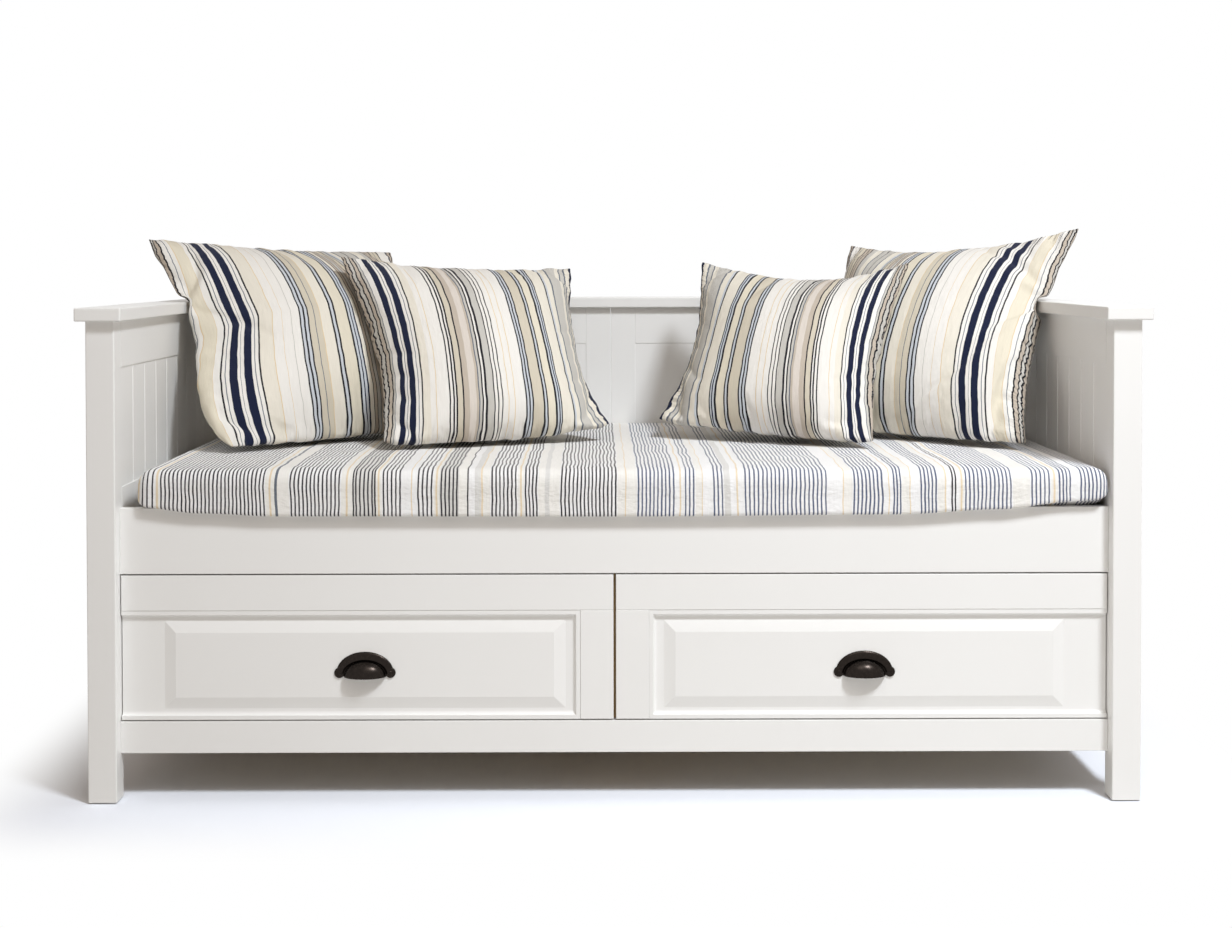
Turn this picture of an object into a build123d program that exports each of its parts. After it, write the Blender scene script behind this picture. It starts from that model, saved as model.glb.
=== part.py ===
from build123d import *
import math
import os

# A storage daybed in painted wood: four posts, panelled ends and back, two drawers
# under the seat, a thin mattress and four pillows. Millimetres, +Z up, the front
# faces -Y, and the origin is under the middle of the bed at floor level.

# Overall
LENGTH_OVER_POSTS = 2050.0
DEPTH_OVER_POSTS = 1033.0
POSTS_ABOVE_SEAT = 367.5

# Posts, caps and glides
POST_WIDTH = 56.0
POST_DEPTH = 48.0
POST_EDGE_RADIUS = 2.5
CAP_THICKNESS = 26.0
CAP_OVERHANG = 17.0
CAP_EDGE_RADIUS = 3.0
GLIDE_THICKNESS = 3.0
GLIDE_RADIUS = 14.0

# Heights of the front, from the floor
BOTTOM_RAIL_LOW = 91.0
BOTTOM_RAIL_HEIGHT = 62.5
DRAWER_FRONT_HEIGHT = 284.0
DRAWER_GAP = 3.0
SEAT_RAIL_HEIGHT = 129.0
BOARD_THICKNESS = 22.0
FRONT_SETBACK = 29.0
BOARD_EDGE_RADIUS = 1.2

# Ends
END_RAIL_THICKNESS = 36.0
END_TOP_RAIL_HEIGHT = 91.0
END_MIDDLE_RAIL_HEIGHT = 90.0
BEADBOARD_ABOVE_SEAT = 39.5
BEADBOARD_THICKNESS = 14.0
BEADBOARD_RECESS = 2.0
BEAD_PITCH = 87.0
BEAD_GROOVE_WIDTH = 5.0
BEAD_GROOVE_DEPTH = 3.0
LOWER_PANEL_THICKNESS = 16.0

# Back
BACK_THICKNESS = 24.0
BACK_STILE_WIDTH = 62.0
BACK_JOINT_GAP = 1.0
BACK_PANEL_THICKNESS = 12.0
BACK_PANEL_RECESS = 1.5
DUST_PANEL_THICKNESS = 6.0

# Bed base
PARTITION_THICKNESS = 24.0
SLAT_THICKNESS = 20.0
SLAT_WIDTH = 90.0
SLAT_COUNT = 15
LEDGER_HEIGHT = 40.0
LEDGER_DEPTH = 25.0

# Drawers
CENTRE_GAP = 5.0
END_GAP = 2.0
TOP_BOARD_HEIGHT = 69.5
JOINT_LINE = 0.3
STILE_WIDTH = 65.0
PANEL_RECESS = 8.5
MOULDING_FILLET = 8.0
MOULDING_STEP = 1.0
RELIEF_ROOT = 3.0
FIELD_STEP = 2.0
FIELD_BEVEL = 23.0
FIELD_MARGIN_LONG = 5.0
FIELD_MARGIN_INNER = 13.0
FIELD_MARGIN_OUTER = 83.0
BOX_SIDE_THICKNESS = 16.0
BOX_BOTTOM_THICKNESS = 6.0
BOX_REAR_ROOM = 174.0
BOX_LIFT = 15.5
BOX_TOP_DROP = 38.5
BOX_SIDE_GAP = 4.0
BOTTOM_GROOVE_DEPTH = 8.0
BOTTOM_GROOVE_HEIGHT = 10.0
FIT_CLEARANCE = 0.3
RUNNER_GROOVE_DEPTH = 8.0
RUNNER_HEIGHT = 18.0
RUNNER_LIFT = 110.0
RUNNER_CLEARANCE = 0.4
RUNNER_END_CLEARANCE = 1.0
RUNNER_FRONT_CLEARANCE = 3.0

# Cup pulls
PULL_SCREW_SPACING = 100.0
PULL_EAR_RADIUS = 9.5
PULL_FLANGE_THICKNESS = 2.6
PULL_ARCH_HEIGHT = 41.0
PULL_CUP_INSET = 9.0
PULL_RIM = 15.0
PULL_CUP_PROJECTION = 26.0
PULL_CUP_DROP = 6.0
PULL_WALL = 2.0
PULL_SCREW_RADIUS = 1.8
PULL_SCREW_HEAD_RADIUS = 3.8
PULL_SCREW_HEAD_HEIGHT = 2.0
PULL_SCREW_DEPTH = 12.0
PULL_SCREW_CLEARANCE = 0.2
PULL_BELOW_FIELD_CENTRE = 15.0

# Frame bolts
BOLT_RADIUS = 3.0
BOLT_HEAD_RADIUS = 5.5
BOLT_HEAD_HEIGHT = 4.0
BOLT_COUNTERBORE_DEPTH = 6.0
BOLT_CLEARANCE = 0.3
BOLT_LENGTH_IN_RAIL = 40.0

# Mattress
MATTRESS_LEFT_PLAY = 35.5
MATTRESS_HEIGHT = 82.0
MATTRESS_FRONT_SETBACK = 9.0
MATTRESS_RIGHT_CLEARANCE = 0.5
MATTRESS_BACK_CLEARANCE = 1.0
MATTRESS_CORNER_RADIUS = 45.0
MATTRESS_EDGE_ROUNDING = 16.0
MATTRESS_CROWN = 6.0
MATTRESS_CROWN_INSET = 150.0
MATTRESS_LIP_DROP = 16.0
MATTRESS_LIP_HEIGHT = 40.0
MATTRESS_LIP_ROUND_SHARE = 0.48
SEAT_CLEARANCE = 0.3

# Pillows: the rear ones lean over the end caps, and the room from the middle of
# the bed to their lower corners sets the size of all four
PILLOW_END_ROOM = 186.0
PILLOW_CAP_CLEARANCE = 2.0

# Side, front crown and back crown, as shares of that room. The small pillows are
# pressed flatter at the back, where they lean on the large ones
LARGE_PILLOW_SHARES = (0.7535, 0.1022, 0.0894)
SMALL_PILLOW_SHARES = (0.6705, 0.1022, 0.0511)

# Centres, as shares of that room: in front of the back, and for the front
# pillows how far from the rear pillow beside them towards the middle
PILLOW_PLACE_SHARES = {
    "left_rear_pillow": (0.5109, 0.0),
    "left_front_pillow": (0.5550, 0.4500),
    "right_front_pillow": (0.5700, 0.3600),
    "right_rear_pillow": (0.4725, 0.0),
}

# Degrees: lean back, turn about the upright and spin in the pillow's own plane
PILLOW_ANGLES = {
    "left_rear_pillow": (44.8, 37.0, -1.2),
    "left_front_pillow": (43.8, 22.0, -0.3),
    "right_front_pillow": (43.2, -22.0, 1.8),
    "right_rear_pillow": (41.7, -38.0, 0.0),
}

# Pillow form, from the seam to the crown: height, side length and side bow,
# as shares of the crown and of the side
PILLOW_SECTION_SHARES = (
    (0.0, 1.0, -0.065),
    (0.46, 0.91, -0.030),
    (0.80, 0.74, 0.015),
    (1.0, 0.36, 0.060),
)

# Levels and planes that follow from the sizes above
half_length = LENGTH_OVER_POSTS / 2
inner_half = half_length - POST_WIDTH
front = -DEPTH_OVER_POSTS / 2
rear = DEPTH_OVER_POSTS / 2
rear_post_front = rear - POST_DEPTH
board_front = front + FRONT_SETBACK
board_back = board_front + BOARD_THICKNESS
drawer_low = BOTTOM_RAIL_LOW + BOTTOM_RAIL_HEIGHT + DRAWER_GAP
drawer_high = drawer_low + DRAWER_FRONT_HEIGHT
seat_rail_low = drawer_high + DRAWER_GAP
seat_top = seat_rail_low + SEAT_RAIL_HEIGHT
slat_low = seat_top - SLAT_THICKNESS
ledger_low = slat_low - LEDGER_HEIGHT
post_top = seat_top + POSTS_ABOVE_SEAT
bottom_rail_high = BOTTOM_RAIL_LOW + BOTTOM_RAIL_HEIGHT
end_top_rail_low = post_top - END_TOP_RAIL_HEIGHT
beadboard_low = seat_top + BEADBOARD_ABOVE_SEAT
middle_rail_low = beadboard_low - END_MIDDLE_RAIL_HEIGHT
mattress_top = seat_top + SEAT_CLEARANCE + MATTRESS_HEIGHT
box_low = drawer_low + BOX_LIFT
box_high = drawer_high - BOX_TOP_DROP
runner_low = box_low + RUNNER_LIFT
pillow_room = inner_half - PILLOW_END_ROOM

parts = {}


def block(x, y, z):
    """A box between two values on each axis."""
    size = (x[1] - x[0], y[1] - y[0], z[1] - z[0])
    centre = ((x[0] + x[1]) / 2, (y[0] + y[1]) / 2, (z[0] + z[1]) / 2)
    return Pos(*centre) * Box(*size)


def board(x, y, z, radius=BOARD_EDGE_RADIUS):
    """A board with its front arrises softened."""
    solid = block(x, y, z)
    return fillet(solid.edges().group_by(Axis.Y)[0], radius)


def rod(start, direction, radius, length):
    """A round bar that starts at a point and runs along a direction."""
    return Plane(origin=start, z_dir=direction) * Cylinder(
        radius, length, align=(Align.CENTER, Align.CENTER, Align.MIN))


def mirrored(solid):
    """The same piece for the other end of the bed."""
    return mirror(solid, about=Plane.YZ)


def bolt_places():
    """Each bolt's y and z on the right end: seat and bottom rails, front and rear."""
    rail_y = (board_front + board_back) / 2
    back_y = rear_post_front + BACK_THICKNESS / 2
    seat_z = seat_rail_low + SEAT_RAIL_HEIGHT / 2
    bottom_z = BOTTOM_RAIL_LOW + BOTTOM_RAIL_HEIGHT / 2
    return [(y, z) for y in (rail_y, back_y) for z in (bottom_z, seat_z)]


def bolt_hole(y, z):
    """The counterbored hole for one bolt, through the post and into the rail."""
    hole_radius = BOLT_RADIUS + BOLT_CLEARANCE
    reach = POST_WIDTH + BOLT_LENGTH_IN_RAIL + BOLT_CLEARANCE
    hole = rod((half_length, y, z), (-1, 0, 0), hole_radius, reach)
    mouth = rod((half_length, y, z), (-1, 0, 0), BOLT_HEAD_RADIUS + BOLT_CLEARANCE,
                BOLT_COUNTERBORE_DEPTH)
    return hole + mouth


def drilled(solid):
    """A post or rail with the right end's bolt holes cut in it."""
    for y, z in bolt_places():
        solid = solid - bolt_hole(y, z)
    return solid


def make_posts():
    for depth_name, y_low in (("front", front), ("rear", rear_post_front)):
        post = block((inner_half, half_length), (y_low, y_low + POST_DEPTH),
                     (GLIDE_THICKNESS, post_top))
        post = fillet(post.edges().filter_by(Axis.Z), POST_EDGE_RADIUS)
        post = drilled(post)
        parts[f"{depth_name}_right_post"] = post
        parts[f"{depth_name}_left_post"] = mirrored(post)


def make_caps():
    side = block((inner_half - CAP_OVERHANG, half_length + CAP_OVERHANG),
                 (front - CAP_OVERHANG, rear + CAP_OVERHANG),
                 (post_top, post_top + CAP_THICKNESS))
    side = fillet(side.edges(), CAP_EDGE_RADIUS)
    parts["right_end_cap"] = side
    parts["left_end_cap"] = mirrored(side)
    reach = inner_half - CAP_OVERHANG
    back = block((-reach, reach), (rear_post_front - CAP_OVERHANG, rear + CAP_OVERHANG),
                 (post_top, post_top + CAP_THICKNESS))
    parts["rear_cap"] = fillet(back.edges().filter_by(Axis.X), CAP_EDGE_RADIUS)


def beadboard_outline(low, high, face, depth):
    """Points round a board in plan, with a V at each bead on both faces."""
    notches = []
    place = low + BEAD_PITCH
    while place < high - BEAD_GROOVE_WIDTH:
        notches.append(place)
        place += BEAD_PITCH
    half = BEAD_GROOVE_WIDTH / 2
    points = [(face, low)]
    for y in notches:
        points += [(face, y - half), (face + BEAD_GROOVE_DEPTH, y), (face, y + half)]
    points += [(face, high), (face + depth, high)]
    for y in reversed(notches):
        points += [(face + depth, y + half), (face + depth - BEAD_GROOVE_DEPTH, y),
                   (face + depth, y - half)]
    points.append((face + depth, low))
    return points


def make_ends():
    y_span = (front + POST_DEPTH, rear_post_front)
    rail_x = (inner_half, inner_half + END_RAIL_THICKNESS)
    right = {
        "end_top_rail": block(rail_x, y_span, (end_top_rail_low, post_top)),
        "end_middle_rail": block(rail_x, y_span, (middle_rail_low, beadboard_low)),
        "end_bottom_rail": block(rail_x, y_span, (BOTTOM_RAIL_LOW, bottom_rail_high)),
        "end_lower_panel": block((inner_half, inner_half + LOWER_PANEL_THICKNESS), y_span,
                                 (bottom_rail_high, middle_rail_low)),
    }
    outline = beadboard_outline(*y_span, inner_half + BEADBOARD_RECESS, BEADBOARD_THICKNESS)
    plan = make_face(Polyline(*outline, close=True))
    right["end_beadboard"] = Pos(0, 0, beadboard_low) * extrude(plan, end_top_rail_low - beadboard_low)
    for name, solid in right.items():
        parts[f"right_{name}"] = solid
        parts[f"left_{name}"] = mirrored(solid)


def make_back():
    y_span = (rear_post_front, rear_post_front + BACK_THICKNESS)
    inner = BACK_JOINT_GAP / 2
    stile_end = inner + BACK_STILE_WIDTH
    panel_y = (rear_post_front + BACK_PANEL_RECESS,
               rear_post_front + BACK_PANEL_RECESS + BACK_PANEL_THICKNESS)
    right = {
        "stile": board((inner, stile_end), y_span, (seat_rail_low, post_top)),
        "top_rail": board((stile_end, inner_half), y_span, (end_top_rail_low, post_top)),
        "bottom_rail": drilled(board((stile_end, inner_half), y_span, (seat_rail_low, seat_top))),
        "panel": block((stile_end, inner_half), panel_y, (seat_top, end_top_rail_low)),
    }
    for name, solid in right.items():
        parts[f"back_right_{name}"] = solid
        parts[f"back_left_{name}"] = mirrored(solid)
    parts["dust_panel"] = block((-inner_half, inner_half),
                                (rear_post_front, rear_post_front + DUST_PANEL_THICKNESS),
                                (bottom_rail_high, seat_rail_low))


def cross_rail(y, z):
    """A rail from post to post, bored at both ends for the bolts."""
    rail = drilled(board((-inner_half, inner_half), y, z))
    return mirrored(drilled(mirrored(rail)))


def make_base():
    front_y = (board_front, board_back)
    parts["seat_rail"] = cross_rail(front_y, (seat_rail_low, seat_top))
    parts["front_bottom_rail"] = cross_rail(front_y, (BOTTOM_RAIL_LOW, bottom_rail_high))
    parts["rear_bottom_rail"] = cross_rail((rear_post_front, rear_post_front + BACK_THICKNESS),
                                           (BOTTOM_RAIL_LOW, bottom_rail_high))
    across = (-inner_half, inner_half)
    ledger_z = (ledger_low, slat_low)
    front_ledger = block(across, (board_back, board_back + LEDGER_DEPTH), ledger_z)
    rear_ledger = block(across, (rear_post_front - LEDGER_DEPTH, rear_post_front), ledger_z)
    parts["front_slat_ledger"] = front_ledger
    parts["rear_slat_ledger"] = rear_ledger
    half = PARTITION_THICKNESS / 2
    partition = block((-half, half), (board_back, rear_post_front), (BOTTOM_RAIL_LOW, slat_low))
    drawer_room = block((-half, half), (board_back, board_back + RUNNER_FRONT_CLEARANCE),
                        (bottom_rail_high, seat_rail_low))
    parts["centre_partition"] = partition - drawer_room - front_ledger - rear_ledger
    parts["bed_slats"] = Compound(children=slats())


def slats():
    """Slats evenly spread from end to end, resting on the two ledgers."""
    pitch = (2 * inner_half - SLAT_WIDTH) / SLAT_COUNT
    first = -pitch * (SLAT_COUNT - 1) / 2
    made = []
    for index in range(SLAT_COUNT):
        centre = first + index * pitch
        made.append(block((centre - SLAT_WIDTH / 2, centre + SLAT_WIDTH / 2),
                          (board_back, rear_post_front), (slat_low, seat_top)))
    return made


def make_bolts():
    made = []
    head_base = half_length - BOLT_COUNTERBORE_DEPTH
    shank = head_base - inner_half + BOLT_LENGTH_IN_RAIL
    for y, z in bolt_places():
        bolt = rod((head_base, y, z), (-1, 0, 0), BOLT_RADIUS, shank)
        bolt = bolt + rod((head_base, y, z), (1, 0, 0), BOLT_HEAD_RADIUS, BOLT_HEAD_HEIGHT)
        made += [bolt, mirrored(bolt)]
    parts["frame_bolts"] = Compound(children=made)


def make_glides():
    made = []
    for x in (-1, 1):
        for y in (front + POST_DEPTH / 2, rear - POST_DEPTH / 2):
            place = (x * (half_length - POST_WIDTH / 2), y, 0)
            made.append(rod(place, (0, 0, 1), GLIDE_RADIUS, GLIDE_THICKNESS))
    parts["foot_glides"] = Compound(children=made)


def moulding(inner, outer, low, high):
    """Fillet and cove round three sides of the sunk panel, mitred at its corners."""
    face = board_front + MOULDING_STEP
    sunk = board_front + PANEL_RECESS
    root = sunk + RELIEF_ROOT
    cove = sunk - face
    bend = cove * math.sqrt(0.5)
    centre_z = high - MOULDING_FILLET - cove
    edges = [
        Polyline((outer, sunk, centre_z), (outer, root, centre_z), (outer, root, high),
                 (outer, face, high), (outer, face, centre_z + cove)),
        ThreePointArc((outer, face, centre_z + cove), (outer, face + bend, centre_z + bend),
                      (outer, sunk, centre_z)),
    ]
    path = Polyline((outer, sunk, high), (inner, sunk, high), (inner, sunk, low), (outer, sunk, low))
    return sweep(make_face(edges), path=path, transition=Transition.RIGHT)


def raised_field(inner, outer, low, high):
    """The raised middle of the panel, with its bevelled border."""
    rise = PANEL_RECESS - FIELD_STEP
    root_bevel = FIELD_BEVEL * RELIEF_ROOT / rise
    width = outer - inner
    height = high - low
    base = Plane(origin=((inner + outer) / 2, board_front + PANEL_RECESS, (low + high) / 2),
                 x_dir=(1, 0, 0), z_dir=(0, -1, 0))
    return loft([base.offset(-RELIEF_ROOT) * Rectangle(width + 2 * root_bevel, height + 2 * root_bevel),
                 base.offset(rise) * Rectangle(width - 2 * FIELD_BEVEL, height - 2 * FIELD_BEVEL)])


def field_limits():
    """Bevel outline of the right drawer's raised field: x low, x high, z low, z high."""
    cove = PANEL_RECESS - MOULDING_STEP
    moulded = MOULDING_FILLET + cove
    inner = CENTRE_GAP / 2 + STILE_WIDTH + JOINT_LINE + moulded + FIELD_MARGIN_INNER
    outer = inner_half - END_GAP - FIELD_MARGIN_OUTER
    low = drawer_low + moulded + FIELD_MARGIN_LONG
    high = drawer_high - TOP_BOARD_HEIGHT - JOINT_LINE - moulded - FIELD_MARGIN_LONG
    return inner, outer, low, high


def pull_centre():
    """The middle of the line through the pull's screws, on the field's face."""
    inner, outer, low, high = field_limits()
    return ((inner + outer) / 2, board_front + FIELD_STEP,
            (low + high) / 2 - PULL_BELOW_FIELD_CENTRE)


def make_pull():
    x, y, z = pull_centre()
    back = Plane(origin=(x, y, z), x_dir=(1, 0, 0), z_dir=(0, -1, 0))
    half_span = PULL_SCREW_SPACING / 2
    arch = Ellipse(half_span, PULL_ARCH_HEIGHT)
    below = Pos(0, -PULL_ARCH_HEIGHT) * Rectangle(2 * PULL_SCREW_SPACING, 2 * PULL_ARCH_HEIGHT)
    ears = [Pos(side * half_span, 0) * Circle(PULL_EAR_RADIUS) for side in (-1, 1)]
    outline = (arch - below) + ears
    flange = extrude(back * outline, PULL_FLANGE_THICKNESS)
    cup_height = PULL_ARCH_HEIGHT - PULL_RIM + PULL_CUP_DROP
    radii = (half_span - PULL_CUP_INSET, PULL_CUP_PROJECTION, cup_height)
    inside = tuple(radius - PULL_WALL for radius in radii)
    room = block((x - radii[0], x + radii[0]), (y - PULL_CUP_PROJECTION, y),
                 (z - PULL_CUP_DROP, z + cup_height))
    centre = Pos(x, y, z - PULL_CUP_DROP)
    cup = (centre * scale(Sphere(1), by=radii)) & room
    hollow = centre * scale(Sphere(1), by=inside)
    pull = flange + cup - hollow
    screws = []
    for side in (-1, 1):
        seat = (x + side * half_span, y - PULL_FLANGE_THICKNESS, z)
        head = rod(seat, (0, -1, 0), PULL_SCREW_HEAD_RADIUS, PULL_SCREW_HEAD_HEIGHT)
        head = fillet(head.edges().group_by(Axis.Y)[0], PULL_SCREW_HEAD_HEIGHT / 2)
        shank = rod(seat, (0, 1, 0), PULL_SCREW_RADIUS, PULL_FLANGE_THICKNESS + PULL_SCREW_DEPTH)
        screws.append(head + shank)
        pull = pull - screw_hole(seat)
    return pull, Compound(children=screws)


def screw_hole(seat):
    return rod(seat, (0, 1, 0), PULL_SCREW_RADIUS + PULL_SCREW_CLEARANCE,
               PULL_FLANGE_THICKNESS + PULL_SCREW_DEPTH + PULL_SCREW_CLEARANCE)


def make_drawer_front():
    inner = CENTRE_GAP / 2
    outer = inner_half - END_GAP
    y_span = (board_front, board_back)
    top_low = drawer_high - TOP_BOARD_HEIGHT
    lower_z = (drawer_low, top_low - JOINT_LINE)
    panel_inner = inner + STILE_WIDTH + JOINT_LINE
    sunk = board_front + PANEL_RECESS
    panel = block((panel_inner, outer), (sunk, board_back), lower_z)
    panel = panel + moulding(panel_inner, outer, *lower_z) + raised_field(*field_limits())
    pull, screws = make_pull()
    x, y, z = pull_centre()
    for side in (-1, 1):
        panel = panel - screw_hole((x + side * PULL_SCREW_SPACING / 2, y - PULL_FLANGE_THICKNESS, z))
    return {
        "top_board": board((inner, outer), y_span, (top_low, drawer_high)),
        "stile": board((inner, inner + STILE_WIDTH), y_span, lower_z),
        "raised_panel": panel,
        "cup_pull": pull,
        "pull_screws": screws,
    }


def make_drawer_box():
    inner = PARTITION_THICKNESS / 2 + BOX_SIDE_GAP
    outer = inner_half - BOX_SIDE_GAP
    y_span = (board_back, rear_post_front - BOX_REAR_ROOM)
    z_span = (box_low, box_high)
    bottom_low = box_low + BOTTOM_GROOVE_HEIGHT
    bottom_high = bottom_low + BOX_BOTTOM_THICKNESS
    groove_z = (runner_low - RUNNER_CLEARANCE, runner_low + RUNNER_HEIGHT + RUNNER_CLEARANCE)
    wall = BOX_SIDE_THICKNESS
    reach = BOTTOM_GROOVE_DEPTH - FIT_CLEARANCE
    bottom = block((inner + wall - reach, outer - wall + reach), y_span, (bottom_low, bottom_high))
    bottom_groove = block((inner + wall - BOTTOM_GROOVE_DEPTH, outer - wall + BOTTOM_GROOVE_DEPTH),
                          y_span, (bottom_low, bottom_high + FIT_CLEARANCE))
    inner_side = block((inner, inner + wall), y_span, z_span) - bottom_groove
    outer_side = block((outer - wall, outer), y_span, z_span) - bottom_groove
    inner_side = inner_side - block((inner, inner + RUNNER_GROOVE_DEPTH), y_span, groove_z)
    outer_side = outer_side - block((outer - RUNNER_GROOVE_DEPTH, outer), y_span, groove_z)
    back = block((inner + wall, outer - wall), (y_span[1] - wall, y_span[1]),
                 (bottom_high, z_span[1]))
    return {"inner_side": inner_side, "outer_side": outer_side, "box_back": back,
            "box_bottom": bottom}


def make_runners():
    """Hardwood strips on the partition and on the end's lower panel."""
    width = BOX_SIDE_GAP + RUNNER_GROOVE_DEPTH - RUNNER_END_CLEARANCE
    half = PARTITION_THICKNESS / 2
    y_span = (board_back + RUNNER_FRONT_CLEARANCE, rear_post_front)
    z_span = (runner_low, runner_low + RUNNER_HEIGHT)
    return [block((half, half + width), y_span, z_span),
            block((inner_half - width, inner_half), y_span, z_span)]


def make_drawers():
    pieces = {**make_drawer_front(), **make_drawer_box()}
    for name, solid in pieces.items():
        parts[f"right_drawer_{name}"] = solid
        parts[f"left_drawer_{name}"] = mirrored(solid)
    runners = make_runners()
    parts["right_drawer_runners"] = Compound(children=runners)
    parts["left_drawer_runners"] = Compound(children=[mirrored(runner) for runner in runners])


def make_mattress():
    """A thin mattress: rounded sides, a crowned top and a lip over the seat rail."""
    x_high = inner_half - MATTRESS_RIGHT_CLEARANCE
    x_low = -inner_half + MATTRESS_LEFT_PLAY
    y_low = front + MATTRESS_FRONT_SETBACK
    y_high = rear_post_front - MATTRESS_BACK_CLEARANCE
    low = seat_top + SEAT_CLEARANCE
    centre_x = (x_low + x_high) / 2
    centre_y = (y_low + y_high) / 2
    width = x_high - x_low
    depth = y_high - y_low
    body = block((x_low, x_high), (y_low, y_high), (low, mattress_top - MATTRESS_CROWN))
    body = fillet(body.edges().filter_by(Axis.Z), MATTRESS_CORNER_RADIUS)
    body = fillet(body.faces().sort_by(Axis.Z)[0].edges(), MATTRESS_EDGE_ROUNDING)
    body = fillet(body.faces().sort_by(Axis.Z)[-1].edges(), MATTRESS_EDGE_ROUNDING)
    crown_base = mattress_top - MATTRESS_CROWN
    flat = 2 * MATTRESS_EDGE_ROUNDING
    crown = loft([
        Pos(centre_x, centre_y, crown_base) * Rectangle(width - flat - flat, depth - flat - flat),
        Pos(centre_x, centre_y, mattress_top) * Rectangle(width - 2 * MATTRESS_CROWN_INSET,
                                                           depth - 2 * MATTRESS_CROWN_INSET),
    ])
    lip_back = board_front - SEAT_CLEARANCE
    lip_low = seat_top - MATTRESS_LIP_DROP
    lip = block((x_low + MATTRESS_CORNER_RADIUS, x_high - MATTRESS_CORNER_RADIUS),
                (y_low, lip_back), (lip_low, lip_low + MATTRESS_LIP_HEIGHT))
    lip_edges = lip.edges().filter_by(Axis.X).group_by(Axis.Z)[0]
    lip = fillet(lip_edges, (lip_back - y_low) * MATTRESS_LIP_ROUND_SHARE)
    parts["mattress"] = body + crown + lip


def pillow_section(side, bow, height):
    """A four-sided outline with bowed sides: inwards when the bow is negative."""
    half = side / 2
    corners = [(-half, -half), (half, -half), (half, half), (-half, half)]
    middles = [(0, -half - bow), (half + bow, 0), (0, half + bow), (-half - bow, 0)]
    edges = []
    for index, middle in enumerate(middles):
        edges.append(ThreePointArc(corners[index], middle, corners[(index + 1) % len(corners)]))
    return Pos(0, 0, height) * make_face(edges)


def pillow_crown(side, height):
    """One half of a stuffed square, from the seam up to its crown."""
    sections = []
    for height_share, side_share, bow_share in PILLOW_SECTION_SHARES:
        sections.append(pillow_section(side * side_share, side * bow_share, height * height_share))
    return loft(sections)


def pillow(side, front_height, back_height):
    """A stuffed square: two crowned halves that meet at the seam."""
    return pillow_crown(side, front_height) + mirror(pillow_crown(side, back_height), about=Plane.XY)


def pillow_in_pose(name):
    """A pillow leaning and turned, resting on the mattress at its place from the back."""
    shares = LARGE_PILLOW_SHARES if "rear" in name else SMALL_PILLOW_SHARES
    lean, turn, spin = PILLOW_ANGLES[name]
    solid = pillow(*[pillow_room * share for share in shares])
    solid = Rot(0, 0, turn) * Rot(90 - lean, 0, 0) * Rot(0, 0, -spin) * solid
    lift = mattress_top + SEAT_CLEARANCE - solid.bounding_box().min.Z
    return Pos(0, rear_post_front - pillow_room * PILLOW_PLACE_SHARES[name][0], lift) * solid


def shift_to_cap(solid, side):
    """How far a pillow moves along the bed to lean on the end cap at that side."""
    cap_level = block((-half_length, half_length), (front, rear), (post_top, post_top + CAP_THICKNESS))
    reach = (solid & cap_level).bounding_box()
    cap_edge = inner_half - CAP_OVERHANG - PILLOW_CAP_CLEARANCE
    if side > 0:
        return cap_edge - reach.max.X
    return -cap_edge - reach.min.X


def make_pillows():
    for side, end in ((-1, "left"), (1, "right")):
        rear_pillow = pillow_in_pose(f"{end}_rear_pillow")
        shift = shift_to_cap(rear_pillow, side)
        parts[f"{end}_rear_pillow"] = Pos(shift, 0, 0) * rear_pillow
        inward = pillow_room * PILLOW_PLACE_SHARES[f"{end}_front_pillow"][1]
        front_pillow = pillow_in_pose(f"{end}_front_pillow")
        parts[f"{end}_front_pillow"] = Pos(shift - side * inward, 0, 0) * front_pillow


make_posts()
make_caps()
make_ends()
make_back()
make_base()
make_bolts()
make_glides()
make_drawers()
make_mattress()
make_pillows()

os.makedirs("parts", exist_ok=True)
for name, solid in parts.items():
    export_step(solid, f"parts/{name}.step")
print(len(parts), "sub-parts written")
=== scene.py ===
# %% [markdown]
# # A storage daybed with a striped mattress and four cushions
# The wooden frame, its drawers and their runners arrive as finished solids with
# real sizes. This lesson dresses them: it paints the wood, blows up four cotton
# cushions, pads the mattress, casts two cup pulls and lights the whole bed as in a
# plain studio. Lengths are metres, the bed faces -Y and its middle stands over the
# origin.

# %% Load the frame
import bpy
import bmesh
import math
from mathutils import Euler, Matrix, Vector, noise


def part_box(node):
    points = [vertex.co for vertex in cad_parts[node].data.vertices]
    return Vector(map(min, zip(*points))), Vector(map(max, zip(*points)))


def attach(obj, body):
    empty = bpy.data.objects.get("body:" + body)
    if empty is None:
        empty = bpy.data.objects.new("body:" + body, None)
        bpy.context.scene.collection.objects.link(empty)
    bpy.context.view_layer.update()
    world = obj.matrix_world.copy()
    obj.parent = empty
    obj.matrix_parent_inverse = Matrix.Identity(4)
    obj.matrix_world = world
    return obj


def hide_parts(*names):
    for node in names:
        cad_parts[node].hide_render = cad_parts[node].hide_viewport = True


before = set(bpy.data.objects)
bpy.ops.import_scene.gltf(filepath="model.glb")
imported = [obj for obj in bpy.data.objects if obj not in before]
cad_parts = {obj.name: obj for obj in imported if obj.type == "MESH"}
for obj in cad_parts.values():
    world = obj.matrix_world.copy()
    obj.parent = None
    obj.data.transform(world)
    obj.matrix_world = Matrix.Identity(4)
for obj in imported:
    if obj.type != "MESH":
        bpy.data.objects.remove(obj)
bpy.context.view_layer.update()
scene = bpy.context.scene
scene.view_settings.view_transform = "Standard"
MM = 0.001


# %% [markdown]
# ## Small helpers
# Three functions make plain things and put them into the scene. Every material below
# is a tree of shader nodes: one function adds a node, sets its properties and fills or
# links its inputs, and short ones cover what is wanted most, a sum, a change of range
# and a blend of two colours. Another turns a colour as a painter picks it on a screen
# into the linear values that a renderer adds up.

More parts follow.
